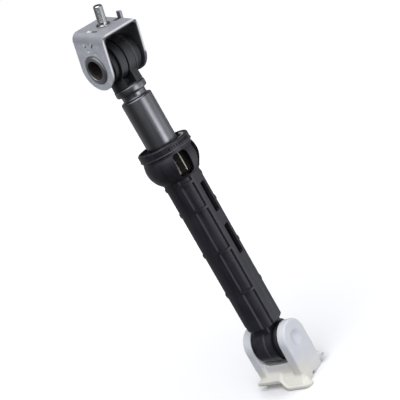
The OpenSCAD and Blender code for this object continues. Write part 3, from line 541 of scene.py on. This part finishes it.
def copied(node):
    # a merged copy of a CAD node, with its flat faces whole again
    bm = bmesh.new()
    bm.from_mesh(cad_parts[node].data)
    bmesh.ops.remove_doubles(bm, verts=bm.verts, dist=meshing["nodeMerge"] * mm)
    flat = math.radians(meshing["flatWithin"])
    bmesh.ops.dissolve_limit(bm, angle_limit=flat, verts=bm.verts, edges=bm.edges)
    return bm


def softened(node, soft, segments=2):
    bm = copied(node)
    limit = math.radians(meshing["sharpAbove"])
    sharp = [edge for edge in bm.edges if len(edge.link_faces) == 2 and edge.calc_face_angle(0) > limit]
    bmesh.ops.bevel(bm, geom=sharp, offset=soft * mm, offset_type="OFFSET", affect="EDGES", segments=segments,
                    profile=0.5, material=-1, clamp_overlap=True)
    return bm


# the foot: one moulding with soft edges everywhere, so it is remeshed and relaxed
footValues = {
    "voxel": 0.4, "relax": 3, "amount": 0.5,
    # above plainAbove the outer faces of the ears are pressed flat at earOut
    "plainAbove": 15.0, "earOut": 18.32,
    # slopes from the trough down to the wing and to the lobe: middle, distance out, height, side
    "slopeLong": 17.6, "slopes": [(-9.0, -11.0, 7.4, 5.4), (9.0, -10.6, 3.2, 8.8)],
    # the coves from the ears down to the wings are relaxed much more, and the wings swell a little
    "coveLow": 7.2, "coveHigh": 15.5, "coveRelax": 26, "swellBelow": 7.4, "swell": 0.22,
}


def remeshed(bm, voxel):
    mesh = bpy.data.meshes.new("footRough")
    bm.to_mesh(mesh)
    bm.free()
    rough = bpy.data.objects.new("footRough", mesh)
    bpy.context.scene.collection.objects.link(rough)
    remesh = rough.modifiers.new("remesh", "REMESH")
    remesh.mode = "VOXEL"
    remesh.voxel_size = voxel * mm
    bpy.context.view_layer.update()
    even = bpy.data.meshes.new_from_object(rough.evaluated_get(bpy.context.evaluated_depsgraph_get()))
    bm = bmesh.new()
    bm.from_mesh(even)
    bpy.data.objects.remove(rough)
    return bm


def relaxed(bm, verts, times, amount):
    for _ in range(times):
        bmesh.ops.smooth_vert(bm, verts=verts, factor=amount, use_axis_x=True, use_axis_y=True,
                              use_axis_z=True)


def makeFoot(v):
    bm = copied("foot_bracket")
    for turn in (0, 180):
        for middle, out, high, side in v["slopes"]:
            place = turned(turn, "Z") @ moved(middle, out, high) @ turned(45, "X")
            addBox(bm, place, (v["slopeLong"], side, side))
    bm = remeshed(bm, v["voxel"])
    relaxed(bm, bm.verts, v["relax"], v["amount"])
    cove = [vert for vert in bm.verts if v["coveLow"] * mm < vert.co.z < v["coveHigh"] * mm]
    relaxed(bm, cove, v["coveRelax"], v["amount"])
    bm.normal_update()
    for vert in bm.verts:
        if vert.co.z < v["swellBelow"] * mm:
            vert.co += vert.normal * v["swell"] * mm
    low, high = cadBox
    for vert in bm.verts:
        vert.co.x = max(min(vert.co.x, high[0]), low[0])
        vert.co.z = max(vert.co.z, 0.0)
        if vert.co.z > v["plainAbove"] * mm:
            vert.co.x = max(min(vert.co.x, v["earOut"] * mm), -v["earOut"] * mm)
    print("foot faces", len(bm.faces))
    placed("footMoulding", bm, "foot", ["footWhite"], ["foot_bracket"], crease=180)


# the pin: it flares at the faces of the ears, and its ends are shallow dishes
pinValues = {
    "radius": 5.0, "mouth": 5.45, "lip": 4.9, "half": 18.1, "flareLong": 1.4, "lipHigh": 0.1,
    "dish": 1.7, "dishRadius": 2.6, "turns": 96,
}


def makePin(v):
    deep = v["half"] - v["dish"]
    half = [(v["radius"], v["half"] - v["flareLong"], 0), (v["mouth"], v["half"] - v["lipHigh"], 0.2),
            (v["lip"], v["half"], 0.2), (v["dishRadius"], deep, 1.2), (0, deep, 0)]
    bm = lathe(mirroredCorners(half), v["turns"], lowerFrame @ zToX, rounding=5)
    placed("pivotPin", bm, "foot", ["footWhite"], ["lower_pivot_pin"])


makeFoot(footValues)
makePin(pinValues)
print("foot done")


# the two rubber bushes: each is a pair of spun halves with a flange and a groove
bushValues = {
    "bore": 8.25, "outer": 10.4, "flange": 12.9, "eyeHalf": 7.6, "clear": 0.02, "groove": 0.7,
    "grooveDeep": 1.1, "split": 0.4, "lowerFlange": 2.8, "upperFlange": 3.8, "soft": 0.55, "turns": 120,
    # name, node, which flange, place, body
    "halves": [
        ("lowerBushNear", "lower_bush_near", "lowerFlange", lowerFrame @ zToX, "housing"),
        ("lowerBushFar", "lower_bush_far", "lowerFlange", lowerFrame @ zToMinusX, "housing"),
        ("upperBushNear", "upper_bush_near", "upperFlange", upperFrame @ zToMinusX, "rod"),
        ("upperBushFar", "upper_bush_far", "upperFlange", upperFrame @ zToX, "rod"),
    ],
}


def bushHalf(v, flange, place):
    start = v["eyeHalf"] + v["clear"]
    under = v["eyeHalf"] + v["groove"]
    top = under + flange
    lip = v["eyeHalf"] + flange
    neck = v["flange"] - v["grooveDeep"]
    inner = v["outer"] - v["grooveDeep"]
    corners = [
        (v["bore"], v["split"], 0), (v["outer"], v["split"], 0), (v["outer"], start, 0), (neck, start, 0),
        (neck, under, 0.15), (v["flange"], under, v["soft"]), (v["flange"], top, v["soft"]),
        (v["outer"], top, 0.3), (v["outer"], lip, 0.2), (inner, lip, 0.2), (inner, top, 0.3),
        (v["bore"], top, 0.3)]
    return lathe(corners, v["turns"], place)


for name, node, flange, place, body in bushValues["halves"]:
    placed(name, bushHalf(bushValues, bushValues[flange], place), body, ["bushRubber"], [node])
print("bushes done")


# the housing and what shows in its mouth and windows
housingValues = {
    "soft": 0.22, "turns": 144, "rim": 188.0, "rimRadius": 18.3, "rimHigh": 5.4,
    # the bead under the rim and the ridge round the eye are painted lighter, a painted highlight
    "beadHigh": 0.9, "beadProud": 0.3, "beadIn": 17.9, "beadSoft": 0.35,
    # plain raised bars on the rim, painted darker as a painted shade: width of each in millimetres, the gap
    # between them, and where they start
    "bars": [1.6, 0.8, 1.2, 1.2, 0.7, 1.6, 1.0, 0.7, 1.4, 0.9], "barGap": 0.85, "barHigh": 1.9,
    "barProud": 0.3, "barFrom": -46.0, "barDrop": 2.5, "barSoft": 0.08,
    "eyeRadius": 14.2, "ridgeAt": 1.4, "ridgeHalf": 0.75, "ridgeProud": 0.3, "ridgeDeep": 1.2,
    "ridgeSoft": 0.3,
    # node, piece, finish, slot and softness of what sits in the mouth
    "inner": [
        ("mouth_guide", "mouthGuide", "guideBlack", "guide_plastic", 0.25),
        ("lining_carrier", "liningCarrier", "carrierBlack", "carrier_plastic", 0.2),
        ("friction_lining", "frictionStrip", "greasedFoam", "foam_lining", 0.4),
    ],
}

# a bead of old grease along part of the mouth, painted pale as a painted highlight
greaseValues = {
    "radius": 14.9, "high": 186.7, "thick": 1.1, "sides": 12, "from": -4.0, "turn": 72.0, "steps": 24,
}


def rimBead(v):
    low = v["rim"] - v["rimHigh"]
    return band(v["beadIn"], v["rimRadius"] + v["beadProud"], low, low + v["beadHigh"], v["beadSoft"],
                v["turns"], upright)


def eyeRidge(v):
    return band(v["eyeRadius"] - v["ridgeDeep"], v["eyeRadius"] + v["ridgeProud"],
                v["ridgeAt"] - v["ridgeHalf"], v["ridgeAt"] + v["ridgeHalf"], v["ridgeSoft"],
                v["turns"], lowerFrame @ zToX)


def rimBars(v):
    bm = bmesh.new()
    angle = v["barFrom"]
    for width in v["bars"]:
        turn = math.degrees((width + v["barGap"]) / v["rimRadius"])
        place = turned(angle + turn / 2, "Z") @ moved(v["rimRadius"], 0, v["rim"] - v["barDrop"])
        addBox(bm, place, (2 * v["barProud"], width, v["barHigh"]), v["barSoft"])
        angle += turn
    return bm


def makeHousing(v):
    bm = softened("damper_housing", v["soft"])
    # the bead and the ridge take the painted highlight, the bars the painted shade
    joined(bm, painted(rimBead(v), 1))
    joined(bm, painted(eyeRidge(v), 1))
    joined(bm, painted(rimBars(v), 2))
    placed("housingShell", bm, "housing", ["housingBlack", "housingPaintedHighlight", "housingPaintedShade"], ["damper_housing"],
           crease=60, even=True)
    for node, name, finish, slot, soft in v["inner"]:
        placed(name, softened(node, soft), "housing", [finish], [node], crease=60, even=True)


def makeGrease(v):
    bm = bmesh.new()
    place = turned(v["from"], "Z") @ moved(v["radius"], 0, v["high"]) @ turned(90, "X")
    bmesh.ops.create_circle(bm, cap_ends=True, radius=v["thick"] * mm, segments=v["sides"], matrix=place)
    bmesh.ops.spin(bm, geom=bm.faces[:] + bm.edges[:] + bm.verts[:], cent=(0, 0, 0), axis=(0, 0, 1),
                   angle=math.radians(v["turn"]), steps=v["steps"])
    bmesh.ops.recalc_face_normals(bm, faces=bm.faces)
    placed("mouthGrease", bm, "housing", ["greasePaintedHighlight"])


makeHousing(housingValues)
makeGrease(greaseValues)
print("housing done")


# the rod: a drawn tube with a crimped groove under a rolled collar
tubeValues = {
    "low": 98.0, "crimpLow": 222.4, "crimpHigh": 226.4, "top": 231.3, "radius": 10.75, "wall": 1.2,
    "crimp": 8.3, "turns": 144,
}

# its plastic head, with a thin raised line round the eye, painted lighter as a painted highlight
headValues = {
    "soft": 0.35, "eye": 14.2, "lineAt": 5.9, "lineHalf": 0.5, "lineProud": 0.25, "lineDeep": 1.0,
    "lineSoft": 0.2, "turns": 144,
}


def makeTube(v):
    bore = v["radius"] - v["wall"]
    crimpBore = v["crimp"] - v["wall"]
    innerHigh = v["crimpHigh"] + v["wall"]
    innerLow = v["crimpLow"] - 2 * v["wall"]
    corners = [
        (v["radius"], v["low"], 0.3), (v["radius"], v["crimpLow"], 1.3), (v["crimp"], v["crimpLow"], 1.0),
        (v["crimp"], v["crimpHigh"], 1.0), (v["radius"], v["crimpHigh"], 1.3), (v["radius"], v["top"], 1.0),
        (bore, v["top"], 0.2), (bore, innerHigh, 0), (crimpBore, innerHigh, 0), (crimpBore, innerLow, 0),
        (bore, innerLow, 0), (bore, v["low"], 0.3)]
    bm = lathe(corners, v["turns"], upright, rounding=6)
    placed("rodTube", bm, "rod", ["rodSteel"], ["rod_tube"])


def makeHead(v):
    bm = softened("rod_head", v["soft"])
    line = band(v["eye"] - v["lineDeep"], v["eye"] + v["lineProud"], v["lineAt"] - v["lineHalf"],
                v["lineAt"] + v["lineHalf"], v["lineSoft"], v["turns"], upperFrame @ zToX)
    joined(bm, painted(line, 1))
    placed("rodHead", bm, "rod", ["headBlack", "housingPaintedHighlight"], ["rod_head"],
           crease=60, even=True)


makeTube(tubeValues)
makeHead(headValues)
print("rod done")


# the bracket: soft pressed edges, bare bright metal where the sheet was sheared, and painted shade on the
# faces turned inwards
bracketValues = {
    "soft": 0.35, "edgeReach": 13.55, "edgeTilt": 0.35, "insideReach": 14.6, "insideTurn": -0.1,
    "underTilt": -0.5, "farEdge": 13.0, "farTop": 18.0,
    "finishes": ["bracketZinc", "shearedEdge", "bracketPaintedShade", "steelPaintedShade", "markPaintedHighlight"],
    # plain stamped marks, each painted with a highlight or a shade: place, length, width, turn in their own
    # face, and the finish
    "cheekMarks": [
        ((-16.0, -1.7, 16.9), 3.0, 0.9, 22.0, "markPaintedHighlight"),
        ((-16.0, -2.9, 16.4), 2.6, 0.7, 30.0, "steelPaintedShade"),
        ((-16.0, 4.6, 16.4), 1.7, 1.4, 30.0, "markPaintedHighlight"),
        ((-16.0, 3.5, 15.6), 0.8, 0.7, 0.0, "steelPaintedShade"),
    ],
    "webMarks": [
        ((-10.4, 1.6, 23.2), 2.6, 1.1, 10.0, "markPaintedHighlight"),
        ((-9.9, -1.8, 23.2), 4.0, 1.3, 12.0, "steelPaintedShade"),
        ((-10.3, 3.4, 23.2), 1.0, 3.0, 25.0, "markPaintedHighlight"),
    ],
    "markHigh": 0.16, "markSoft": 0.07,
}


def stamped(v, marks, facing):
    bm = bmesh.new()
    for place, length, width, turn, finish in marks:
        where = moved(*place) @ facing @ turned(turn, "Z")
        for face in addBox(bm, where, (width, length, 2 * v["markHigh"]), v["markSoft"]):
            face.material_index = v["finishes"].index(finish)
    bmesh.ops.transform(bm, matrix=bracketFrame, verts=bm.verts)
    return bm


def finishAt(v, spot, out):
    # spot is the middle of a face in millimetres and out its direction, both in the bracket's frame
    below = spot.z < 0 and math.hypot(spot.y, spot.z) > v["edgeReach"]
    beside = abs(spot.y) > v["edgeReach"] and abs(out.z) < v["edgeTilt"]
    if abs(out.x) < v["edgeTilt"] and (below or beside):
        # the far cheek's cut edges get the painted shade
        shaded = spot.x > v["farEdge"] and spot.z < v["farTop"]
        return "bracketPaintedShade" if shaded else "shearedEdge"
    # faces turned inwards get the painted shade
    inward = out.x * spot.x < v["insideTurn"] or out.z < v["underTilt"]
    return "bracketPaintedShade" if inward and abs(spot.x) < v["insideReach"] else "bracketZinc"


def makeBracket(v):
    bm = softened("top_bracket", v["soft"], 3)
    back = bracketFrame.inverted()
    for face in bm.faces:
        finish = finishAt(v, back @ face.calc_center_median() / mm, back.to_3x3() @ face.normal)
        face.material_index = v["finishes"].index(finish)
    joined(bm, stamped(v, v["cheekMarks"], turned(90, "Y") @ turned(90, "Z")))
    joined(bm, stamped(v, v["webMarks"], upright))
    placed("topBracket", bm, "bracket", v["finishes"], ["top_bracket"], crease=60, even=True)


# the hollow rivet: its ends are rolled outwards over the cheeks
rivetValues = {
    "shank": 6.6, "bore": 5.8, "boreFrom": 0.6, "darkBelow": 6.35, "mouth": 6.5, "crown": 7.5, "head": 9.0,
    "edgeHigh": 0.55, "headHigh": 1.3, "cheek": 16.0, "turns": 120,
}


def makeRivet(v):
    cheek = v["cheek"]
    top = cheek + v["headHigh"]
    half = [(v["shank"], cheek, 0), (v["head"], cheek, 0.15), (v["head"], cheek + v["edgeHigh"], 0.4),
            (v["crown"], top, 0.9), (v["mouth"], top, 0.45), (v["bore"], cheek - v["boreFrom"], 0.5)]
    bm = lathe(mirroredCorners(half), v["turns"], bracketFrame @ zToX, rounding=5)
    back = bracketFrame.inverted()
    # faces of the bore get a painted shade
    for face in bm.faces:
        spot = back @ face.calc_center_median() / mm
        if math.hypot(spot.y, spot.z) < v["darkBelow"]:
            face.material_index = 1
    placed("hollowRivet", bm, "bracket", ["rivetSteel", "steelPaintedShade"], ["pivot_rivet"])


# the stud: a collared shank with a rolled thread and a bevelled end
studValues = {
    "radius": 3.0, "core": 2.9, "pitch": 0.8, "threadLow": 25.6, "threadHigh": 35.2, "top": 36.4,
    "runOut": 0.4, "endBevel": 0.6, "ribRoot": 0.15, "ribShare": 0.47, "ribCrest": 0.07, "threadSteps": 36,
    "web": 23.2, "webUnder": 21.2, "collar": 4.6, "collarHigh": 1.0, "head": 6.0, "headHigh": 2.4,
    "turns": 72,
}


def addThread(bm, v):
    reach = v["pitch"] * v["ribShare"]
    root = v["core"] - v["ribRoot"]
    rib = [(root, -reach), (v["radius"], -v["ribCrest"]), (v["radius"], v["ribCrest"]), (root, reach)]
    start = bm.faces.new([bm.verts.new((r * mm, 0, (v["threadLow"] + h) * mm)) for r, h in rib])
    turns = int((v["threadHigh"] - v["threadLow"]) / v["pitch"])
    bmesh.ops.spin(bm, geom=[start, *start.edges, *start.verts], cent=(0, 0, 0), axis=(0, 0, 1),
                   dvec=(0, 0, v["pitch"] * mm / v["threadSteps"]), angle=math.tau * turns,
                   steps=v["threadSteps"] * turns)


def makeStud(v):
    headLow = v["webUnder"] - v["headHigh"]
    collarTop = v["web"] + v["collarHigh"]
    corners = [
        (0, headLow, 0), (v["head"], headLow, 0.5), (v["head"], v["webUnder"], 0.3),
        (v["radius"], v["webUnder"], 0), (v["radius"], v["web"], 0), (v["collar"], v["web"], 0.2),
        (v["collar"], collarTop, 0.35), (v["radius"], collarTop, 0.3),
        (v["radius"], v["threadLow"] - v["runOut"], 0), (v["core"], v["threadLow"], 0),
        (v["core"], v["top"] - v["endBevel"], 0.1), (v["core"] - v["endBevel"], v["top"], 0.15),
        (0, v["top"], 0)]
    bm = lathe(corners, v["turns"], upright)
    addThread(bm, v)
    bmesh.ops.recalc_face_normals(bm, faces=bm.faces)
    bmesh.ops.transform(bm, matrix=bracketFrame, verts=bm.verts)
    placed("threadedStud", bm, "bracket", ["studSteel"], ["mounting_stud"], crease=35)


makeBracket(bracketValues)
makeRivet(rivetValues)
makeStud(studValues)
print("bracket, rivet and stud done")


# CAD nodes that keep their own mesh have a finish here; the others have a piece of their own above
nodeFinishes = {
    "lower_bush_sleeve": "sleeveSteel", "bottom_buffer": "bushRubber", "rod_guide_ring": "naturalPlastic",
    "rod_end_plug": "guideBlack", "pivot_spacer_tube": "sleeveSteel",
}
for node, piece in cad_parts.items():
    piece.data.materials.clear()
    piece.data.materials.append(paint[nodeFinishes.get(node, "housingBlack")])
print("inner pieces painted")


studio = {
    "floorSize": 30.0, "floorColour": (0.97, 0.97, 0.975), "fibreSize": 3, "fibreShade": 0.985,
    "fibreRough": 0.1, "roughness": 0.75,
    # the paper glows more with its distance from the foot, in two steps, so the dimmer paper near the foot is
    # a painted shadow: from, to, brightness
    "floorGlowAndShadow": [(20.0, 33.0, 0.21), (90.0, 700.0, 0.46)],
    "ambient": 0.07, "backdrop": 1.0, "backdropColour": (1.0, 1.0, 1.0), "tint": (0.97, 0.98, 1.03),
    # soft lights in the sky: direction each comes from, strength, how narrow it is
    "glows": [
        ((0.965, -0.14, -0.2), 3.5, 24.0),
        ((0.83, 0.52, -0.2), 0.7, 10.0),
        ((0.26, 0.94, -0.2), 0.3, 3.0),
        ((-0.94, 0.1, -0.2), 0.3, 4.0),
        ((0.552, 0.466, -0.692), 1.3, 12.0),
        ((0.3, -0.55, 0.78), 2.4, 5.0),
    ],
    # one softbox above: place and side in metres, and the point it faces
    "lampPlace": (0.2, 0.0, 1.05), "lampSide": 0.8, "lampWatts": 3.6, "lampFaces": (0, 0, 0.15),
}


def makeFloor(v):
    bm = bmesh.new()
    bmesh.ops.create_grid(bm, x_segments=2, y_segments=2, size=v["floorSize"] / 2)
    mesh = bpy.data.meshes.new("studioFloor")
    bm.to_mesh(mesh)
    bm.free()
    floor = bpy.data.objects.new("studioFloor", mesh)
    bpy.context.scene.collection.objects.link(floor)
    floor.visible_glossy = False
    floor.visible_diffuse = False
    f = Finish("floorPaper")
    fibre = f.noise(v["fibreSize"], detail=3)
    reach = (f.spot.part("X") ** 2.0 + f.spot.part("Y") ** 2.0) ** 0.5
    # less glow close to the foot paints its shadow
    glow = (0.0, 0.0, 0.0)
    for low, high, level in v["floorGlowAndShadow"]:
        glow = f.mixed(reach.above(low, high), glow, (level, level, level))
    mesh.materials.append(f.done(**{
        "Base Color": f.mixed(fibre, v["floorColour"], tuple(c * v["fibreShade"] for c in v["floorColour"])),
        "Roughness": fibre * v["fibreRough"] + v["roughness"],
        "Emission Color": glow,
        "Emission Strength": 1.0,
    }))


def makeSky(v):
    world = bpy.data.worlds.new("studioSky")
    bpy.context.scene.world = world
    sky = Recipe(world)
    toward = sky.add("TexCoord", {}, {}, "Generated")
    toward = sky.add("VectorMath", {"operation": "NORMALIZE"}, {0: toward})
    light = v["ambient"]
    for source, strength, narrow in v["glows"]:
        source = tuple(Vector(source).normalized())
        facing = sky.add("VectorMath", {"operation": "DOT_PRODUCT"}, {0: toward, 1: source}, "Value")
        light = facing.atLeast(0.0) ** narrow * strength + light
    # the camera itself sees a plain white backdrop
    seen = sky.add("LightPath", {}, {}, "Is Camera Ray")
    background = sky.tree.nodes["Background"]
    sky.feed(background.inputs["Color"], sky.mixed(seen, v["tint"], v["backdropColour"]))
    sky.feed(background.inputs["Strength"], light * (1 - seen) + seen * v["backdrop"])


def makeLamp(v):
    lamp = bpy.data.lights.new("softboxTop", "AREA")
    lamp.shape = "SQUARE"
    lamp.size = v["lampSide"]
    lamp.energy = v["lampWatts"]
    holder = bpy.data.objects.new("softboxTop", lamp)
    bpy.context.scene.collection.objects.link(holder)
    holder.location = v["lampPlace"]
    toward = Vector(v["lampFaces"]) - Vector(v["lampPlace"])
    holder.rotation_euler = toward.to_track_quat("-Z", "Y").to_euler()


# the photograph's view: place in millimetres, angles in degrees, focal length and width in pixels
cameraValues = {
    "place": (394.7, -449.1, 285.0), "heading": 41.31, "pitch": 13.4, "aside": 0.31, "roll": 29.7,
    "focal": 930.0, "width": 400.0, "sensor": 36.0, "near": 0.01, "far": 100,
}


def makeCamera(v):
    data = bpy.data.cameras.new("photoCamera")
    data.sensor_width = v["sensor"]
    data.lens = v["sensor"] * v["focal"] / v["width"]
    data.clip_start = v["near"]
    data.clip_end = v["far"]
    camera = bpy.data.objects.new("photoCamera", data)
    bpy.context.scene.collection.objects.link(camera)
    look = turned(v["heading"] - v["aside"], "Z") @ turned(90 - v["pitch"], "X") @ turned(-v["roll"], "Z")
    camera.matrix_world = moved(*v["place"]) @ look
    bpy.context.scene.camera = camera


makeFloor(studio)
makeSky(studio)
makeLamp(studio)
makeCamera(cameraValues)
bpy.context.scene.view_settings.view_transform = "Standard"
print("studio and camera ready")
